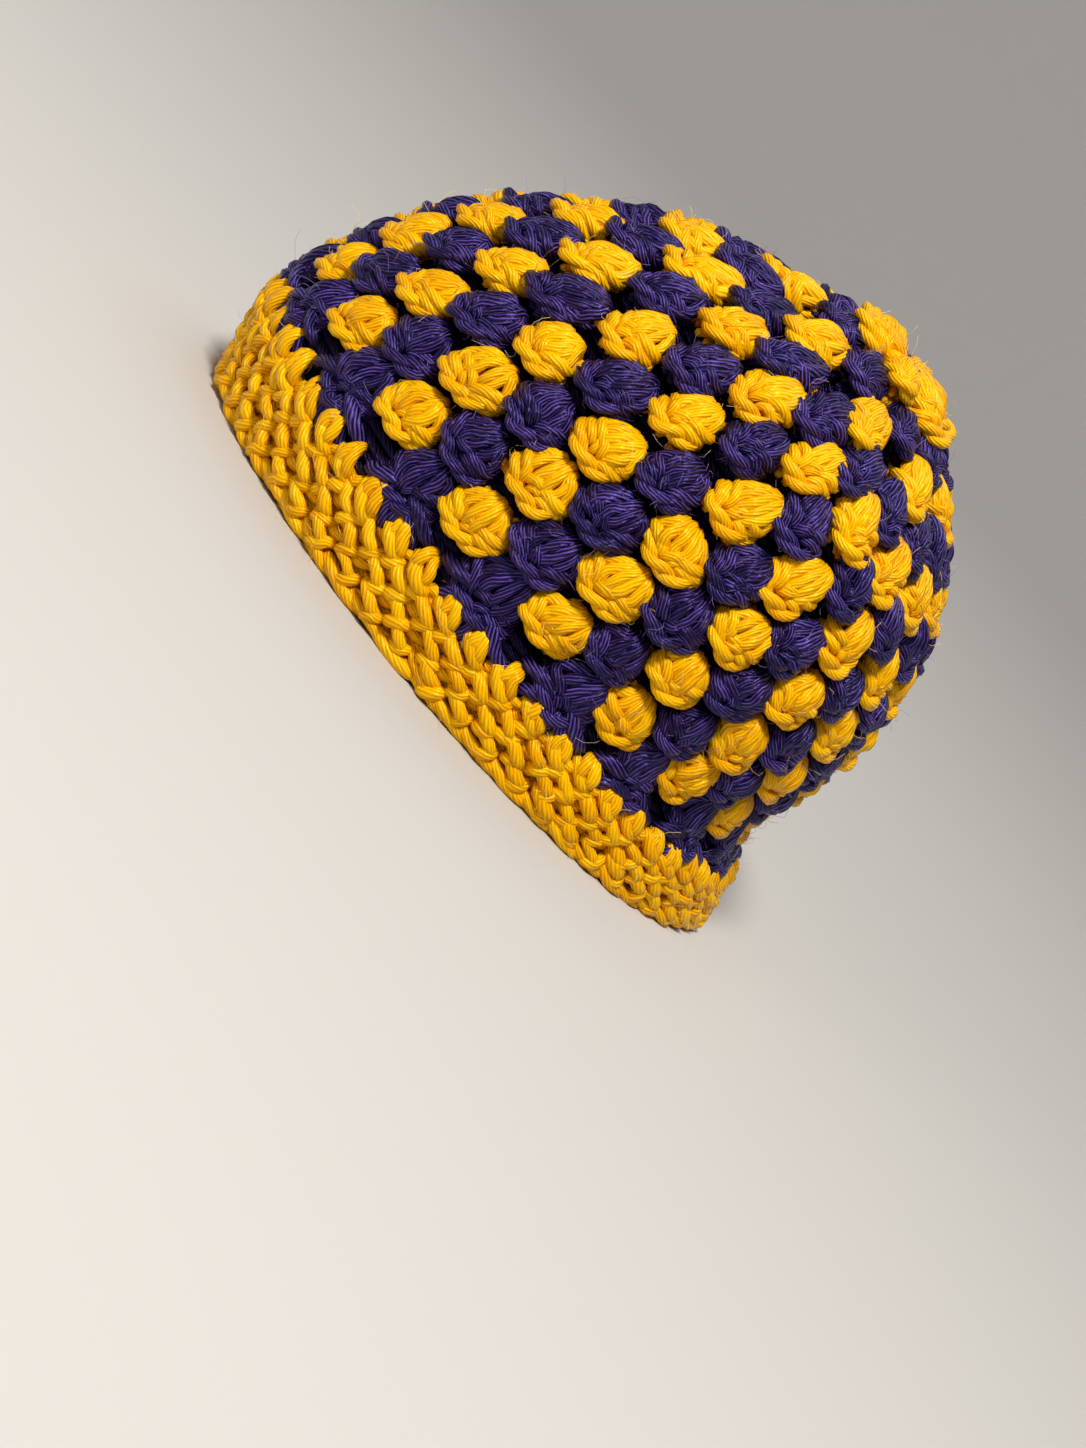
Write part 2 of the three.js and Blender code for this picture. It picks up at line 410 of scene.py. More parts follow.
DOME_COLUMNS = (-0.84, -0.52, -0.18, 0.15, 0.5, 0.84)
DOME_HEIGHTS = (0.88, 0.7, 0.4, 0.12, -0.14, -0.36)
DOME_WIDTHS = (0.48, 0.7, 0.92, 1.0, 0.84, 0.5)
DOME_DEPTH = 6.0
DOME_SHOULDER = 0.3
DOME_FLATNESS = 0.2
DOME_PROUD = 0.6
DOME_START = (0.42, 0.72, -7.4)
DOME_SINK = (0.0, 0.0, 0.0, 0.0, -0.5, -2.4)
CURLS = (
    (
        (-0.78, 0.3, -6.8), (-0.95, 0.14, -4.2), (-0.76, 0.02, -1.9),
        (-0.5, -0.14, -0.7), (-0.36, -0.34, -1.3), (-0.3, -0.5, -3.2),
    ),
    (
        (-0.84, 0.0, -6.6), (-1.0, -0.16, -4.2), (-0.82, -0.27, -2.1),
        (-0.6, -0.41, -1.3), (-0.48, -0.56, -2.2), (-0.42, -0.68, -3.8),
    ),
    (
        (0.8, 0.26, -6.8), (0.95, 0.1, -4.2), (0.8, 0.0, -1.9),
        (0.52, -0.03, -0.4), (0.26, -0.1, -0.9), (0.15, -0.26, -3.0),
    ),
    (
        (0.84, -0.06, -6.6), (0.99, -0.22, -4.2), (0.82, -0.3, -2.2),
        (0.53, -0.31, -0.8), (0.27, -0.38, -1.5), (0.18, -0.52, -3.4),
    ),
)
POST_WRAPS = (
    (
        (-0.34, -0.44, -3.2), (-0.22, -0.26, -0.9), (-0.04, -0.13, -0.1),
        (0.16, -0.06, -0.8), (0.3, -0.04, -3.0),
    ),
    (
        (-0.14, -0.58, -3.4), (-0.06, -0.44, -1.2), (0.05, -0.31, -0.4),
        (0.18, -0.22, -0.9), (0.32, -0.18, -3.0),
    ),
)
LIP = (
    (-0.76, 0.02, -8.2), (-0.93, -0.2, -5.8), (-0.84, -0.46, -3.1), (-0.48, -0.68, -1.1),
    (0.0, -0.74, -0.4),
    (0.48, -0.69, -1.1), (0.85, -0.48, -3.1), (0.93, -0.22, -5.8), (0.78, 0.0, -8.2),
)
BACKS = (
    ((-0.6, 0.8, -7.2), (-0.5, 0.1, -8.4), (-0.5, -0.75, -7.4)),
    ((0.0, 0.9, -7.2), (0.0, 0.1, -8.8), (0.0, -0.8, -7.4)),
    ((0.6, 0.8, -7.2), (0.5, 0.1, -8.4), (0.5, -0.75, -7.4)),
)
FEET_RIGHT = (
    ((0.2, -0.22, -2.0), (0.62, -0.35, -0.6), (1.06, -0.51, -0.9), (1.4, -0.64, -2.2), (1.58, -0.75, -4.8)),
    ((0.2, -0.52, -2.0), (0.56, -0.73, -1.0), (0.9, -0.98, -1.5), (1.06, -1.24, -3.0), (1.1, -1.46, -5.4)),
)
FEET_LEFT = tuple(tuple((-across, up, out) for across, up, out in foot) for foot in FEET_RIGHT)
FEET_MIDDLE = (
    (
        (-0.14, -0.45, -1.8), (-0.18, -0.77, -0.7), (-0.16, -1.07, -1.0),
        (-0.08, -1.33, -2.4), (-0.04, -1.5, -5.0),
    ),
    (
        (0.16, -0.43, -1.8), (0.2, -0.77, -0.9), (0.18, -1.07, -1.2),
        (0.1, -1.31, -2.6), (0.04, -1.48, -5.0),
    ),
)
FEET = FEET_LEFT + FEET_MIDDLE + FEET_RIGHT

# How each kind of strand is laid in a cluster
DOME_LAYING = Laying(14, 1.2, (1.0, 0.3), (0.028, 0.02, 0.3), ply_turn=-38.0)
CURL_LAYING = Laying(11, 1.08, (1.0, 0.3), (0.02, 0.02, 0.2))
WRAP_LAYING = Laying(7, 1.0, (0.3, 0.3), (0.03, 0.03, 0.2))
LIP_LAYING = Laying(24, 1.05, (0.6, 0.6), (0.03, 0.03, 0.2), ply_turn=-22.0, fullness=5.0)
BACK_LAYING = Laying(4, 1.3, (0.7, 0.7), (0.03, 0.03, 0.2), sides=5)
FOOT_LAYING = Laying(10, 1.3, (0.4, 0.3), (0.03, 0.03, 0.2))
LIP_ROPE_SHARE = 0.72
LIP_ROPE_TURN = 16.0


def dome_strands():
    """Upper strands of a cluster: side by side over its top and down its front, like ribs of an onion."""
    strands = []
    for column in DOME_COLUMNS:
        start = (column * DOME_START[0], DOME_START[1], DOME_START[2])
        points = [start]
        shoulder = 1 - DOME_SHOULDER * column**2
        for height, width, sink in zip(DOME_HEIGHTS, DOME_WIDTHS, DOME_SINK):
            across = column * width
            height = height * shoulder if height > 0 else height
            reach = min(1.0, across**2 + max(height, 0) ** 2 + DOME_FLATNESS)
            points.append((across, height, DOME_PROUD + sink - DOME_DEPTH * (1 - math.sqrt(1 - reach))))
        strands.append(points)
    return strands


DOME = dome_strands()

# Size of a cluster from the room that it has, in shares of the room and in mm, and how much clusters differ
WIDTH_SHARE = 0.272
MOST_WIDTH_SHARE = 0.38
LEAST_HALF_WIDTH = 7.7
MOST_HALF_WIDTH = 10.0
HEIGHT_SHARE = 0.9
LEAST_HALF_HEIGHT = 6.5
MOST_HALF_HEIGHT = 12.0
TURN_STRAY = 0.1
SHIFT_STRAY = 0.5
SIZE_STRAY = 0.05
LEAN_STRAY = 0.16
MIRRORED_SHARE = 0.35

# At the crown the last round lies over the one below it, which is shorter and sunk, in mm.
CROWN_SQUEEZE = 0.84
CROWN_LIFTS = {13: -0.8, 14: 2.0}

# Soft cores inside the clusters, in mm and shares of a half height, and the tone offsets that paint shade on
# what lies deep and, darker still, on the gap strands
CORE_RINGS = 5
CORE_SIDES = 8
CORE_HALF_DEPTH = 2.9
CORE_DEPTH = -4.9
CORE_HEIGHT_SHARE = 0.8
CORE_END_SHARE = 0.25
DEEP_PAINTED_SHADE = -2.0
GAP_PAINTED_SHADE = -4.0


def add_cores(yarn, stand):
    """Adds a soft core to each cluster, which closes the chinks between its strands and is painted darker as
    painted shade.
    """
    tilt = np.linspace(-math.pi / 2, math.pi / 2, CORE_RINGS)
    along = CORE_HEIGHT_SHARE * np.sin(tilt)
    centres = np.stack([along * 0, along, np.full(CORE_RINGS, CORE_DEPTH)], axis=-1)
    offsets = loop_offsets(yarn.rng, stand, centres[None], (0.0, 0.0, 0.0))
    radii = np.maximum(np.cos(tilt), CORE_END_SHARE) * CORE_HALF_DEPTH
    add_even(yarn, loop_points(stand, offsets)[:, 0], radii, sides=CORE_SIDES, tone=DEEP_PAINTED_SHADE)


def room_in_round(round_number, offset=0.0):
    """Places and angles of a round's clusters, moved by an offset in clusters, and the room there in mm."""
    clusters, first = clusters_in(round_number)
    places = np.full(clusters, float(round_number))
    angles = cluster_angle(places, first + 360 / clusters * (np.arange(clusters) + offset))
    up, around = wall_slopes(places, angles)
    pitch = np.linalg.norm(around, axis=-1) * 2 * math.pi / clusters
    return places, angles, pitch, np.linalg.norm(up, axis=-1)


def cluster_stand(rng, round_number):
    """Places and sizes of the clusters of a round, from the room that they have."""
    places, angles, pitch, rise = room_in_round(round_number)
    clusters = len(places)
    least_width = np.minimum(MOST_WIDTH_SHARE * pitch, LEAST_HALF_WIDTH)
    half_width = np.clip(WIDTH_SHARE * pitch, least_width, MOST_HALF_WIDTH)
    half_height = np.clip(HEIGHT_SHARE * rise, LEAST_HALF_HEIGHT, MOST_HALF_HEIGHT)
    if round_number == LAST_ROUND - 1:
        half_height = half_height * CROWN_SQUEEZE
    turn = jitter(rng, clusters, TURN_STRAY)
    shift = jitter(rng, (clusters, 2), SHIFT_STRAY)
    size = 1 + jitter(rng, clusters, SIZE_STRAY)
    lean = jitter(rng, clusters, LEAN_STRAY)
    width = np.where(rng.random(clusters) < MIRRORED_SHARE, -1.0, 1.0) * half_width * size
    lift = CROWN_LIFTS.get(round_number, 0.0)
    return Stand(places, angles, width, half_height * size, turn, shift, pitch, lean, lift)


def add_lips(yarn, stand, radius):
    """Adds the lower edge of each cluster: two strands laid round each other, drawn in at its corners."""
    laying = LIP_LAYING
    lip = loop_points(stand, loop_offsets(yarn.rng, stand, (LIP,), laying.stray))[:, 0]
    laid = rope_paths(yarn.rng, lip, laying.steps, LIP_ROPE_SHARE * radius, LIP_ROPE_TURN)
    radii = radius * laying.thickness * taper(laying.steps, laying.ends, laying.fullness)
    add_even(yarn, laid, radii, ply_turn=laying.ply_turn)


# Strands that join each cluster to the next of its round: height in half heights, depth in mm, thickness
NECKS = ((-0.72, -6.6, 1.0), (-0.5, -8.0, 1.0))
BASE_BRIDGES = (
    (-0.32, -6.2, 1.2),
    (-0.56, -4.8, 1.2),
    (-0.81, -4.8, 1.2),
    (-1.07, -5.6, 1.2),
    (-1.31, -6.4, 1.2),
    (-1.52, -7.4, 1.1),
)
NECK_SPAN = (0.18, 0.35, 0.65, 0.82)
NECK_SAG = (0.4, 0.0, 0.0, 0.4)
NECK_STRAY = (0.0, 0.3, 0.3)
NECK_STEPS = 5
NECK_SIDES = 5

# Strands behind each gap between two clusters, painted near black as painted shade, in shares of the room
# from cluster to cluster and from round to round, and mm
GAP_LEVELS = (-0.3, 0.03, 0.36)
GAP_SLANT = 0.03
GAP_RUNGS = [
    [
        (-0.36, level, -9.2), (-0.14, level + GAP_SLANT, -10.6),
        (0.14, level - GAP_SLANT, -10.6), (0.36, level, -9.2),
    ]
    for level in GAP_LEVELS
]
GAP_LAYING = Laying(4, 1.0, (0.8, 0.8), (0.01, 0.02, 0.2), sides=4, tone=GAP_PAINTED_SHADE)
GAP_RADIUS_SHARE = 0.17
GAP_RADII = (1.6, 2.9)


def add_gap_rungs(yarn, round_number):
    """Adds strands at the bottom of the gaps of a round, which stand in for the shade there: they keep light
    from coming through it and are painted near black as painted shade.
    """
    places, angles, pitch, rise = room_in_round(round_number, 0.5)
    level = np.zeros(len(places))
    gaps = Stand(places, angles, pitch, rise, level, np.zeros((len(places), 2)), pitch, level)
    radius = np.repeat(np.clip(GAP_RADIUS_SHARE * rise, *GAP_RADII), len(GAP_RUNGS))[:, None]
    add_loops(yarn, gaps, GAP_RUNGS, radius, GAP_LAYING)


def add_necks(yarn, stand, radius, necks):
    """Adds the strands that join each cluster to the next one of its round, painted darker as painted shade.
    """
    for height, depth, thickness in necks:
        across = np.stack([stand.pitch * share for share in NECK_SPAN], axis=-1)
        along = np.broadcast_to((height * stand.half_height)[:, None], across.shape)
        out = np.broadcast_to(depth + np.array(NECK_SAG), across.shape)
        offsets = np.stack([across, along, out], axis=-1)[:, None]
        offsets = offsets + jitter(yarn.rng, offsets.shape, NECK_STRAY)
        paths = smooth_paths(loop_points(stand, offsets)[:, 0], NECK_STEPS)
        add_even(yarn, paths, radius * thickness, sides=NECK_SIDES, tone=DEEP_PAINTED_SHADE)


def cluster_round(yarn, settings, round_number):
    """All the strands of one round of clusters; an odd round has the gap strands of the next one too."""
    radius = settings.strand_diameter / MM / 2
    stand = cluster_stand(yarn.rng, round_number)
    add_loops(yarn, stand, DOME, radius, DOME_LAYING)
    add_loops(yarn, stand, CURLS, radius, CURL_LAYING)
    add_loops(yarn, stand, POST_WRAPS, radius, WRAP_LAYING)
    add_lips(yarn, stand, radius)
    add_loops(yarn, stand, BACKS, radius, BACK_LAYING)
    add_cores(yarn, stand)
    add_necks(yarn, stand, radius, NECKS)
    if round_number % 2 == 1:
        add_gap_rungs(yarn, round_number)
        add_gap_rungs(yarn, round_number + 1)
    if round_number == 1:
        add_necks(yarn, stand, radius, BASE_BRIDGES)
        add_loops(yarn, stand, FEET, radius, FOOT_LAYING)


# Stray fibres, in mm. They are drawn 0.11 mm thick, because real ones of 0.02 mm would not show.

FUZZ_SIDES = 3
FUZZ_STEPS = 4
FUZZ_LENGTH = 5.2
FUZZ_RADIUS = 0.056
FUZZ_LEAST_LENGTH = 0.35
FUZZ_SPREAD = 0.7

# How far along a fibre each of its points lies, and how much it follows its first direction and its swerve
FUZZ_POINTS = ((0.35, 1.0, 0.0), (0.7, 1.0, 0.5), (1.0, 0.7, 0.9))


def grow_fuzz(yarn, pieces, count):
    """Grows fine stray fibres out of finished pieces of yarn."""
    rng = yarn.rng
    roots = []
    directions = []
    for piece in pieces:
        mesh = piece.data
        places = np.empty(3 * len(mesh.vertices), np.float32)
        normals = np.empty(3 * len(mesh.vertices), np.float32)
        mesh.vertices.foreach_get("co", places)
        mesh.vertex_normals.foreach_get("vector", normals)
        roots.append(places.reshape(-1, 3) / MM)
        directions.append(normals.reshape(-1, 3))
    roots = np.concatenate(roots).astype(float)
    directions = np.concatenate(directions).astype(float)
    chosen = rng.integers(len(roots), size=count)
    roots = roots[chosen]
    start = unit(directions[chosen] + FUZZ_SPREAD * rng.standard_normal(roots.shape))
    swerve = unit(rng.standard_normal(roots.shape))
    reach = FUZZ_LENGTH * (FUZZ_LEAST_LENGTH + rng.random((count, 1)) ** 2)
    controls = [roots]
    for along, straight, swerving in FUZZ_POINTS:
        controls.append(roots + (straight * start + swerving * swerve) * reach * along)
    controls = np.stack(controls, axis=1)
    controls[..., 2] = np.maximum(controls[..., 2], 2 * FUZZ_RADIUS)
    add_even(yarn, smooth_paths(controls, FUZZ_STEPS), FUZZ_RADIUS, sides=FUZZ_SIDES)


# Plain stitches of the brim: their points are (across, up, out), in widths of a stitch, heights of the
# brim and mm. Each stitch is a sideways V, and those of the top row are drawn up into teeth.

PLAIN_STITCH = (
    ((-0.5, 0.12, -3.4), (-0.38, 0.09, -0.9), (-0.13, 0.03, 0.6), (0.1, -0.02, 0.5), (0.26, -0.06, -2.8)),
    ((0.32, 0.01, -3.2), (0.22, -0.03, -0.4), (0.05, -0.09, 0.4), (-0.13, -0.14, -0.3), (-0.26, -0.18, -3.2)),
    ((-0.54, 0.17, -4.4), (-0.27, 0.13, -3.2), (0.0, 0.11, -2.6), (0.27, 0.13, -3.0), (0.54, 0.17, -4.4)),
)
TOOTH = (
    ((-0.04, 0.27, -4.8), (-0.08, 0.22, -1.3), (-0.13, 0.11, 0.1), (-0.15, -0.01, 0.2), (-0.08, -0.12, -2.5)),
    ((0.03, 0.27, -4.8), (0.06, 0.23, -1.0), (0.12, 0.11, 0.7), (0.19, -0.01, 0.6), (0.2, -0.12, -2.8)),
    ((-0.44, 0.07, -3.2), (-0.32, 0.03, -0.8), (-0.06, -0.07, 0.9), (0.19, -0.13, 0.4), (0.34, -0.17, -3.0)),
    ((0.38, -0.13, -3.2), (0.26, -0.17, -0.6), (0.08, -0.24, 0.3), (-0.1, -0.3, -0.6), (-0.2, -0.34, -3.2)),
)
TOOTH_LINKS = (
    ((0.18, -0.08, -3.6), (0.34, -0.05, -1.7), (0.47, -0.02, -1.3), (0.58, 0.0, -1.8), (0.68, 0.0, -3.8)),
    ((-0.02, 0.2, -4.4), (-0.02, 0.15, -2.0), (0.0, 0.07, -1.2), (0.02, -0.02, -1.2), (0.02, -0.12, -3.6)),
)
EDGE_LINKS = (
    ((-0.86, 0.09, -3.6), (-0.48, 0.06, -1.0), (0.0, 0.02, -0.1), (0.44, -0.02, -0.8), (0.78, -0.02, -3.2)),
    ((-0.7, -0.01, -3.8), (-0.35, 0.0, -2.2), (0.08, 0.0, -1.6), (0.5, 0.03, -2.2), (0.8, 0.06, -3.8)),
)

# Rows of the brim: height in shares of the brim, and how far along they start, in stitches
Row = namedtuple("Row", "height stagger")
BRIM_ROWS = (Row(0.25, 0.33), Row(0.43, 0.04), Row(0.61, -0.42))
TOOTH_ROW = Row(0.87, -0.06)
EDGE_ROW = Row(0.085, 0.25)
BRIM_STRAY = (0.03, 0.012, 0.2)
BRIM_TURN_STRAY = 0.09
BRIM_SHIFT_STRAY = 0.4
PLAIN_LAYING = Laying(12, 1.26, (0.15, 0.15), BRIM_STRAY, fullness=2.4)
INNER_LAYING = Laying(6, 1.2, (0.3, 0.3), BRIM_STRAY, sides=5)
LINK_LAYING = Laying(9, 1.0, (0.3, 0.3), BRIM_STRAY)
EDGE_LAYING = Laying(12, 1.15, (0.2, 0.2), BRIM_STRAY)
INNER_FACE = -7.0
INNER_FLATNESS = 0.6

# Rings of yarn inside the brim
BEDS = (0.12, 0.28, 0.44, 0.6, 0.75)
BED_DEPTH = -4.9
BED_RADIUS = 2.2
BED_SWAY = 0.35
BED_SIDES = 6
BED_STEPS_PER_STITCH = 3


def brim_stand(rng, row):
    """Places and sizes of one row of plain stitches; a stitch's height is given as the brim's."""
    degrees = 360 / BRIM_STITCHES * (np.arange(BRIM_STITCHES) + row.stagger)
    places = np.full(BRIM_STITCHES, BRIM_TOP * row.height)
    angles = cluster_angle(places, degrees)
    up, around = wall_slopes(places, angles)
    width = np.linalg.norm(around, axis=-1) * 2 * math.pi / BRIM_STITCHES
    height = np.linalg.norm(up, axis=-1) * BRIM_TOP
    turn = jitter(rng, BRIM_STITCHES, BRIM_TURN_STRAY)
    shift = jitter(rng, (BRIM_STITCHES, 2), BRIM_SHIFT_STRAY)
    return Stand(places, angles, width, height, turn, shift, width, 0 * width)


def facing_in(strands):
    """The same strands on the inner face of the brim, a little flatter."""
    return [[(x, y, INNER_FACE - INNER_FLATNESS * out) for x, y, out in strand] for strand in strands]


def brim_beds(yarn):
    """Adds the rings of yarn that run inside the brim, behind its stitches, and close it."""
    steps = BED_STEPS_PER_STITCH * BRIM_STITCHES
    angles = np.linspace(0, 2 * math.pi, steps + 1)
    level = np.zeros(steps + 1)
    for height_share in BEDS:
        sway = BED_SWAY * np.sin(BRIM_STITCHES * angles)
        path = on_wall(level + BRIM_TOP * height_share, angles, level, sway, level + BED_DEPTH)
        add_even(yarn, path[None], BED_RADIUS, sides=BED_SIDES)


def brim_band(yarn, settings):
    """All the strands of the brim: three rows of plain stitches, teeth, lower edge and the rings inside."""
    radius = settings.strand_diameter / MM / 2
    for row in BRIM_ROWS:
        stand = brim_stand(yarn.rng, row)
        add_loops(yarn, stand, PLAIN_STITCH, radius, PLAIN_LAYING)
        add_loops(yarn, stand, facing_in(PLAIN_STITCH[:2]), radius, INNER_LAYING)
    teeth = brim_stand(yarn.rng, TOOTH_ROW)
    add_loops(yarn, teeth, TOOTH, radius, PLAIN_LAYING)
    add_loops(yarn, teeth, TOOTH_LINKS, radius, LINK_LAYING)
    edge = brim_stand(yarn.rng, EDGE_ROW)
    add_loops(yarn, edge, EDGE_LINKS, radius, EDGE_LAYING)
    brim_beds(yarn)


# Starting ring at the crown: place on the wall in rounds, and depth in mm
RING_STRANDS = 11
RING_POINTS = ((14.3, -4.2), (14.52, -1.2), (14.75, -0.6), (14.9, -2.2), (14.96, -4.6))
RING_LAYING = Laying(11, 1.0, (0.6, 0.6), (0.0, 0.0, 0.0))


def crown_centre(yarn, settings):
    """Short strands over a small ring, drawn in to the middle."""
    laying = RING_LAYING
    radius = settings.strand_diameter / MM / 2 * laying.thickness
    angles = 2 * math.pi * np.arange(RING_STRANDS) / RING_STRANDS
    level = np.zeros(RING_STRANDS)
    points = [on_wall(level + place, angles, level, level, level + out) for place, out in RING_POINTS]
    paths = smooth_paths(np.stack(points, axis=1), laying.steps)
    add_even(yarn, paths, radius * taper(laying.steps, laying.ends, laying.fullness))


# Materials


def linear(hex_code):
    """Linear colour of an sRGB hex code."""
    channels = [int(hex_code[i : i + 2], 16) / 255 for i in (1, 3, 5)]
    curve = [c / 12.92 if c <= 0.04045 else ((c + 0.055) / 1.055) ** 2.4 for c in channels]
    return (*curve, 1.0)


def add_node(tree, kind, settings=None, **links):
    """Adds a node; settings are its properties or input values, and links feed its inputs by name."""
    node = tree.nodes.new(kind)
    for key, value in (settings or {}).items():
        if isinstance(key, int) or key in node.inputs.keys():
            node.inputs[key].default_value = value
        else:
            setattr(node, key, value)
    for key, source in links.items():
        tree.links.new(source, node.inputs[key.replace("_", " ")])
    return node


# Worsted yarn, spun of several plies: they run slanting along each strand and shine along their ridges,
# partly by gloss and partly by a painted highlight, with painted shade in the grooves between them, and
# no two strands are quite the same tone. A ply is about 1 mm wide, as on the real yarn, and its ridges rise
# by ply_depth in m. Single fibres of 0.02 mm are too fine to show, so they are drawn 0.25 mm wide and 3 mm
# long.
# The light colour is the painted highlight on the ply ridges, the deep colour the painted shade in the
# grooves and on strands that lie deep, and the fifth field weighs how strongly the plies are painted
Yarn = namedtuple("Yarn", "light deep gloss_tint gloss ply_contrast ply_depth")
GOLDEN_YELLOW = Yarn("#FFD200", "#C87000", "#FFE468", 0.6, 0.26, 0.00018)
DEEP_PURPLE = Yarn("#745EC8", "#020106", "#A08AFF", 0.7, 0.48, 0.00024)
PLIES = 10

# Shade, from deep to light: what fibres, the tone of the strand and a base add to it, how far the plies
# wander, how wide their ridges are, and where the colours lie in it
FIBRE_STRETCH = (44.0, 0.35, 1.0)
FIBRE_SHADE = 0.6
FIBRE_RELIEF = 0.8
TONE_SHADE = 0.14
BASE_SHADE = 0.36
WANDER_SCALE = 160.0
WANDER_ANGLE = 7.0
RIDGE_WIDTH = 0.7
DEEP_STOP = 0.3
MAIN_STOP = 0.62
LIGHT_STOP = 0.9
YARN_ROUGHNESS = 0.28


def plied_yarn(name, colour, yarn):
    """Glossy plied yarn of a main colour, with a painted highlight on the ridges of its plies and painted
    shade between them.
    """
    material = bpy.data.materials.new(name)
    material.use_nodes = True
    tree = material.node_tree
    tree.nodes.clear()
    uv = add_node(tree, "ShaderNodeUVMap", {"uv_map": "strand"}).outputs["UV"]
    stretch = add_node(tree, "ShaderNodeMapping", {"Scale": FIBRE_STRETCH}, Vector=uv).outputs[0]
    noise = {"Detail": 3.0, "Roughness": 0.65, "Scale": 1.0}
    fibres = add_node(tree, "ShaderNodeTexNoise", noise, Vector=stretch)
    place = add_node(tree, "ShaderNodeTexCoord").outputs["Object"]
    wander = add_node(tree, "ShaderNodeTexNoise", {"Scale": WANDER_SCALE, "Detail": 2.0}, Vector=place)
    tone = add_node(tree, "ShaderNodeAttribute", {"attribute_name": "tone"})

    def weighed(value, weight, rest):
        """Value times weight plus rest, which is a number or another output."""
        node = add_node(tree, "ShaderNodeMath", {"operation": "MULTIPLY_ADD", 1: weight})
        tree.links.new(value, node.inputs[0])
        if isinstance(rest, float):
            node.inputs[2].default_value = rest
        else:
            tree.links.new(rest, node.inputs[2])
        return node.outputs[0]

    around = add_node(tree, "ShaderNodeSeparateXYZ", Vector=uv)
    wandering = weighed(wander.outputs["Fac"], WANDER_ANGLE, 0.0)
    ply_angle = weighed(around.outputs["X"], 2 * math.pi * PLIES, wandering)
    ply_wave = add_node(tree, "ShaderNodeMath", {"operation": "COSINE"})
    tree.links.new(ply_angle, ply_wave.inputs[0])
    ply_round = add_node(tree, "ShaderNodeMath", {"operation": "POWER", 1: RIDGE_WIDTH})
    tree.links.new(weighed(ply_wave.outputs[0], 0.5, 0.5), ply_round.inputs[0])
    # Painted highlight on the ply ridges and painted shade in the grooves between them
    ridge = ply_round.outputs[0]
    # The tone adds a random tone for each strand, and painted shade on those that lie deep
    even = weighed(tone.outputs["Fac"], TONE_SHADE, BASE_SHADE - yarn.ply_contrast)
    soft = weighed(fibres.outputs["Fac"], FIBRE_SHADE, even)
    shade = weighed(ridge, yarn.ply_contrast, soft)
    ramp = add_node(tree, "ShaderNodeValToRGB", Fac=shade)
    stops = ramp.color_ramp.elements
    stops[0].position = DEEP_STOP
    stops[0].color = linear(yarn.deep)
    stops[1].position = LIGHT_STOP
    stops[1].color = linear(yarn.light)
    stops.new(MAIN_STOP).color = colour
    relief = weighed(fibres.outputs["Fac"], FIBRE_RELIEF, ridge)
    bump = add_node(tree, "ShaderNodeBump", {"Strength": 1.0, "Distance": yarn.ply_depth}, Height=relief)
    shader = add_node(
        tree,
        "ShaderNodeBsdfPrincipled",
        {
            "Roughness": YARN_ROUGHNESS,
            "Specular IOR Level": yarn.gloss,
            "Specular Tint": linear(yarn.gloss_tint),
        },
        Base_Color=ramp.outputs["Color"],
        Normal=bump.outputs["Normal"],
    )
    add_node(tree, "ShaderNodeOutputMaterial", Surface=shader.outputs["BSDF"])


# Fuzz: single fibres that stand off the yarn as a thin bright halo, their own colour painted paler than the
# yarn as painted light that shines through fine fibres, and a few of them from other cloth
Fuzz = namedtuple("Fuzz", "own stranger")
YELLOW_HALO = Fuzz("#FFD878", "#D8C8A8")
PURPLE_HALO = Fuzz("#8A7CB8", "#C08858")
STRANGER_SHARE = 0.14


def stray_fibres(name, fuzz):
    """Single loose fibres, painted paler than their yarn as painted light along the edges, with a few of
    another colour among them.
    """
    material = bpy.data.materials.new(name)
    material.use_nodes = True
    tree = material.node_tree
    tree.nodes.clear()
    tone = add_node(tree, "ShaderNodeAttribute", {"attribute_name": "tone"})
    ramp = add_node(tree, "ShaderNodeValToRGB", Fac=tone.outputs["Fac"])
    ramp.color_ramp.interpolation = "CONSTANT"
    stops = ramp.color_ramp.elements
    stops[0].color = linear(fuzz.own)
    stops[1].position = 1 - STRANGER_SHARE
    stops[1].color = linear(fuzz.stranger)
    shader = add_node(
        tree,
        "ShaderNodeBsdfPrincipled",
        {"Roughness": 0.5, "Specular IOR Level": 0.5},
        Base_Color=ramp.outputs["Color"],
    )
    add_node(tree, "ShaderNodeOutputMaterial", Surface=shader.outputs["BSDF"])


def plain_material(name, hex_code, roughness):
    """Matt paper or cloth of a backdrop: one even pale tone without gloss."""
    material = bpy.data.materials.new(name)
    material.use_nodes = True
    shader = material.node_tree.nodes["Principled BSDF"]
    shader.inputs["Base Color"].default_value = linear(hex_code)
    shader.inputs["Roughness"].default_value = roughness
    return material


# Operators

YELLOW = "plied_yarn_golden_yellow"
PURPLE = "plied_yarn_deep_purple"
YELLOW_FUZZ = "stray_fibres_golden_yellow"
PURPLE_FUZZ = "stray_fibres_deep_purple"


class BeanieSettings(bpy.types.PropertyGroup):
    """Yarn and stitches of the hat"""

    strand_diameter: bpy.props.FloatProperty(
        name="Strand diameter", description="Thickness of the plied yarn", default=0.0031, unit="LENGTH"
    )
    yellow: bpy.props.FloatVectorProperty(
        name="Golden yellow",
        description="Main colour of the yellow yarn",
        default=linear("#F7B200"),
        size=4,
        subtype="COLOR",
    )
    purple: bpy.props.FloatVectorProperty(
        name="Deep purple",
        description="Main colour of the purple yarn",
        default=linear("#130A2A"),
        size=4,
        subtype="COLOR",
    )
    fuzz: bpy.props.IntProperty(
        name="Fuzz", description="Number of stray fibres in each colour", default=2300, min=1
    )
    seed: bpy.props.IntProperty(
        name="Seed", description="Start of the random differences between stitches", default=7
    )


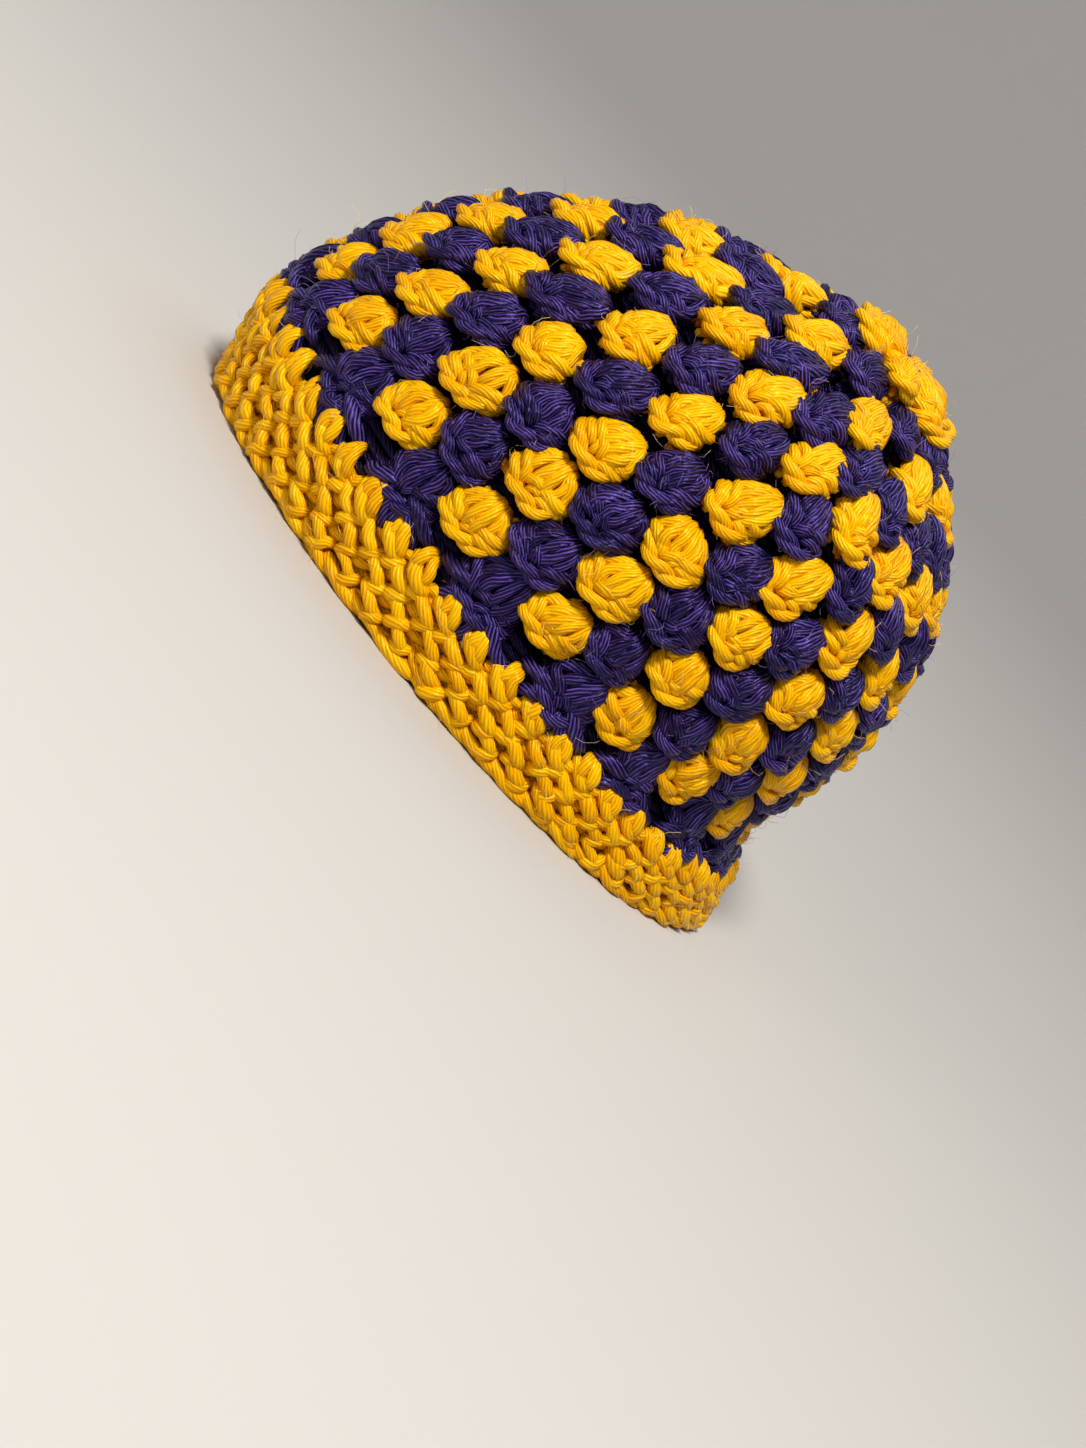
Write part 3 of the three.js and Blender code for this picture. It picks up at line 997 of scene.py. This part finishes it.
class StageSettings(bpy.types.PropertyGroup):
    """Lights of the stage"""

    key_power: bpy.props.FloatProperty(
        name="Key light", description="Power of the key light", default=24.0, unit="POWER"
    )
    fill_power: bpy.props.FloatProperty(
        name="Fill light", description="Power of the fill light", default=3.0, unit="POWER"
    )
    top_power: bpy.props.FloatProperty(
        name="Top light", description="Power of the overhead light", default=18.0, unit="POWER"
    )


class BEANIE_OT_brim(bpy.types.Operator):
    """Crochets the brim band in plain stitches"""

    bl_idname = "beanie.brim"
    bl_label = "Brim band"

    def execute(self, context):
        settings = context.scene.beanie
        yarn = YarnMesh(np.random.default_rng(settings.seed))
        brim_band(yarn, settings)
        piece = yarn.make_object("brim_stitches", bpy.data.materials[YELLOW])
        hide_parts("brim_band")
        return {"FINISHED"}


class BEANIE_OT_rounds(bpy.types.Operator):
    """Crochets the rounds of puffed clusters"""

    bl_idname = "beanie.rounds"
    bl_label = "Cluster rounds"

    def execute(self, context):
        settings = context.scene.beanie
        for number in range(1, LAST_ROUND + 1):
            purple = number % 2 == 1
            yarn = YarnMesh(np.random.default_rng(settings.seed + number))
            cluster_round(yarn, settings, number)
            material, slot = (PURPLE, "yarn_purple") if purple else (YELLOW, "yarn_yellow")
            piece = yarn.make_object(f"clusters_{number:02d}", bpy.data.materials[material])
            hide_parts(f"round_{number:02d}")
        return {"FINISHED"}


class BEANIE_OT_crown(bpy.types.Operator):
    """Crochets the starting ring at the crown"""

    bl_idname = "beanie.crown"
    bl_label = "Crown centre"

    def execute(self, context):
        settings = context.scene.beanie
        yarn = YarnMesh(np.random.default_rng(settings.seed + LAST_ROUND + 1))
        crown_centre(yarn, settings)
        piece = yarn.make_object("starting_ring", bpy.data.materials[PURPLE])
        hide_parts("crown_centre")
        return {"FINISHED"}


class BEANIE_OT_fuzz(bpy.types.Operator):
    """Grows the stray fibres of both yarns"""

    bl_idname = "beanie.fuzz"
    bl_label = "Stray fibres"

    def execute(self, context):
        settings = context.scene.beanie
        for slot, source, material, own_seed in (
            ("yarn_yellow", YELLOW, YELLOW_FUZZ, 101),
            ("yarn_purple", PURPLE, PURPLE_FUZZ, 102),
        ):
            yarn_material = bpy.data.materials[source]
            pieces = [piece for piece in context.scene.objects if piece.active_material == yarn_material]
            yarn = YarnMesh(np.random.default_rng(settings.seed + own_seed))
            grow_fuzz(yarn, pieces, settings.fuzz)
            yarn.make_object(slot.replace("yarn", "stray_fibres"), bpy.data.materials[material])
        return {"FINISHED"}


class BEANIE_OT_yarns(bpy.types.Operator):
    """Makes the two yarns"""

    bl_idname = "beanie.yarns"
    bl_label = "Yarns"

    def execute(self, context):
        settings = context.scene.beanie
        plied_yarn(YELLOW, settings.yellow, GOLDEN_YELLOW)
        plied_yarn(PURPLE, settings.purple, DEEP_PURPLE)
        stray_fibres(YELLOW_FUZZ, YELLOW_HALO)
        stray_fibres(PURPLE_FUZZ, PURPLE_HALO)
        return {"FINISHED"}


# Camera: at the photo's angle to the hat and rolled like it, with the hat at the same place in the frame

PHOTO_WIDTH = 1086
PHOTO_HEIGHT = 1448
FOCAL_PIXELS = 3500.0
SENSOR_WIDTH = 36.0
CLIP_START = 0.05
CLIP_END = 20.0
CAMERA_AZIMUTH = 93.0
CAMERA_ELEVATION = 9.0
CAMERA_ROLL = 49.28
CAMERA_DISTANCE = 1.0
TARGET = Vector((0.0, 0.0035, 0.078))
TARGET_PIXEL = (661.6, 472.0)


def make_camera():
    """Camera that looks at the hat from the photo's angle and shows the whole frame of the photo."""
    azimuth = math.radians(CAMERA_AZIMUTH)
    elevation = math.radians(CAMERA_ELEVATION)
    level = math.cos(elevation)
    back = Vector((math.sin(azimuth) * level, -math.cos(azimuth) * level, math.sin(elevation)))
    facing = back.to_track_quat("Z", "Y").to_matrix()
    roll = Matrix.Rotation(math.radians(CAMERA_ROLL), 3, "Z")
    right = (TARGET_PIXEL[0] - PHOTO_WIDTH / 2) / FOCAL_PIXELS
    down = (TARGET_PIXEL[1] - PHOTO_HEIGHT / 2) / FOCAL_PIXELS
    ray = Vector((right, -down, -1.0))
    aim = ray.rotation_difference(Vector((0, 0, -1))).to_matrix()
    turn = facing @ roll @ aim
    data = bpy.data.cameras.new("camera")
    data.sensor_width = SENSOR_WIDTH
    data.lens = FOCAL_PIXELS / PHOTO_HEIGHT * SENSOR_WIDTH
    data.clip_start = CLIP_START
    data.clip_end = CLIP_END
    camera = bpy.data.objects.new("camera", data)
    camera.matrix_world = Matrix.Translation(TARGET + back * CAMERA_DISTANCE) @ turn.to_4x4()
    bpy.context.scene.collection.objects.link(camera)
    bpy.context.scene.camera = camera


SWEEP_FLOOR_RADIUS = 1.4
SWEEP_BEND_RADIUS = 1.1
SWEEP_BEND_STEPS = 16
SWEEP_SIDES = 96
SWEEP_WALL_HEIGHT = 1.8
SWEEP_COLOUR = "#C2C0BD"
SWEEP_ROUGHNESS = 0.9
WORLD_COLOUR = "#DDE0E4"
WORLD_STRENGTH = 0.17


def make_sweep(material):
    """Floor that bends up into a wall all round, so that no edge or horizon is in the frame."""
    bpy.ops.object.select_all(action="DESELECT")
    bpy.ops.mesh.primitive_circle_add(vertices=SWEEP_SIDES, radius=SWEEP_FLOOR_RADIUS, fill_type="NGON")
    sweep = bpy.context.active_object
    sweep.name = "sweep"
    bpy.ops.object.mode_set(mode="EDIT")
    bpy.ops.mesh.select_mode(type="EDGE")
    bpy.ops.mesh.select_all(action="SELECT")
    bpy.ops.mesh.region_to_loop()
    radius = SWEEP_FLOOR_RADIUS
    height = 0.0
    for step in range(1, SWEEP_BEND_STEPS + 1):
        bend = math.pi / 2 * step / SWEEP_BEND_STEPS
        next_radius = SWEEP_FLOOR_RADIUS + SWEEP_BEND_RADIUS * math.sin(bend)
        next_height = SWEEP_BEND_RADIUS * (1 - math.cos(bend))
        bpy.ops.mesh.extrude_region_move(TRANSFORM_OT_translate={"value": (0, 0, next_height - height)})
        scale = next_radius / radius
        bpy.ops.transform.resize(value=(scale, scale, 1), center_override=(0, 0, 0))
        radius = next_radius
        height = next_height
    bpy.ops.mesh.extrude_region_move(TRANSFORM_OT_translate={"value": (0, 0, SWEEP_WALL_HEIGHT)})
    bpy.ops.mesh.select_all(action="SELECT")
    bpy.ops.mesh.normals_make_consistent(inside=True)
    bpy.ops.object.mode_set(mode="OBJECT")
    bpy.ops.object.shade_smooth()
    sweep.data.materials.append(material)


# Soft round lights: places and sizes in m
Light = namedtuple("Light", "place target size colour")
KEY = Light((0.85, -0.1, 1.3), (0, 0, 0.08), 0.36, "#FFFAF2")
FILL = Light((1.2, -0.85, 0.8), (0, 0, 0.08), 0.7, "#F6F6FF")
TOP = Light((-0.7, 0.2, 2.3), (-0.6, 0, 0), 2.2, "#FFFFFF")


def make_area_light(name, light, power):
    """A soft round light that the camera doesn't see."""
    data = bpy.data.lights.new(name, "AREA")
    data.shape = "DISK"
    data.size = light.size
    data.energy = power
    data.color = linear(light.colour)[:3]
    lamp = bpy.data.objects.new(name, data)
    lamp.visible_camera = False
    lamp.location = light.place
    lamp.rotation_mode = "QUATERNION"
    lamp.rotation_quaternion = (Vector(light.target) - Vector(light.place)).to_track_quat("-Z", "Y")
    bpy.context.scene.collection.objects.link(lamp)


class BEANIE_OT_stage(bpy.types.Operator):
    """Sets up the sweep, the soft lights and the camera"""

    bl_idname = "beanie.stage"
    bl_label = "Stage"

    def execute(self, context):
        settings = context.scene.beanie_stage
        context.scene.view_settings.view_transform = "Standard"
        make_camera()
        make_sweep(plain_material("matt_paper_sweep", SWEEP_COLOUR, SWEEP_ROUGHNESS))
        make_area_light("key", KEY, settings.key_power)
        make_area_light("fill", FILL, settings.fill_power)
        make_area_light("top", TOP, settings.top_power)
        world = bpy.data.worlds.new("studio")
        world.use_nodes = True
        background = world.node_tree.nodes["Background"]
        background.inputs["Color"].default_value = linear(WORLD_COLOUR)
        background.inputs["Strength"].default_value = WORLD_STRENGTH
        context.scene.world = world
        return {"FINISHED"}


class BEANIE_PT_panel(bpy.types.Panel):
    """Sizes, colours and lights of the beanie, and the steps that make it"""

    bl_label = "Crochet beanie"
    bl_idname = "BEANIE_PT_panel"
    bl_space_type = "VIEW_3D"
    bl_region_type = "UI"
    bl_category = "Beanie"

    def draw(self, context):
        for group in (context.scene.beanie, context.scene.beanie_stage):
            for name in group.__annotations__:
                self.layout.prop(group, name)
        for operator in OPERATORS:
            self.layout.operator(operator.bl_idname)


OPERATORS = (
    BEANIE_OT_yarns,
    BEANIE_OT_brim,
    BEANIE_OT_rounds,
    BEANIE_OT_crown,
    BEANIE_OT_fuzz,
    BEANIE_OT_stage,
)
CLASSES = (BeanieSettings, StageSettings, *OPERATORS, BEANIE_PT_panel)


def register():
    """Registers the classes and their settings."""
    for cls in CLASSES:
        bpy.utils.register_class(cls)
    bpy.types.Scene.beanie = bpy.props.PointerProperty(type=BeanieSettings)
    bpy.types.Scene.beanie_stage = bpy.props.PointerProperty(type=StageSettings)


def unregister():
    """Takes the settings and the classes away again."""
    del bpy.types.Scene.beanie_stage
    del bpy.types.Scene.beanie
    for cls in reversed(CLASSES):
        bpy.utils.unregister_class(cls)


def main():
    """Makes the hat and its stage."""
    register()
    bpy.ops.beanie.yarns()
    bpy.ops.beanie.brim()
    bpy.ops.beanie.rounds()
    bpy.ops.beanie.crown()
    bpy.ops.beanie.fuzz()
    bpy.ops.beanie.stage()


if __name__ == "__main__":
    main()
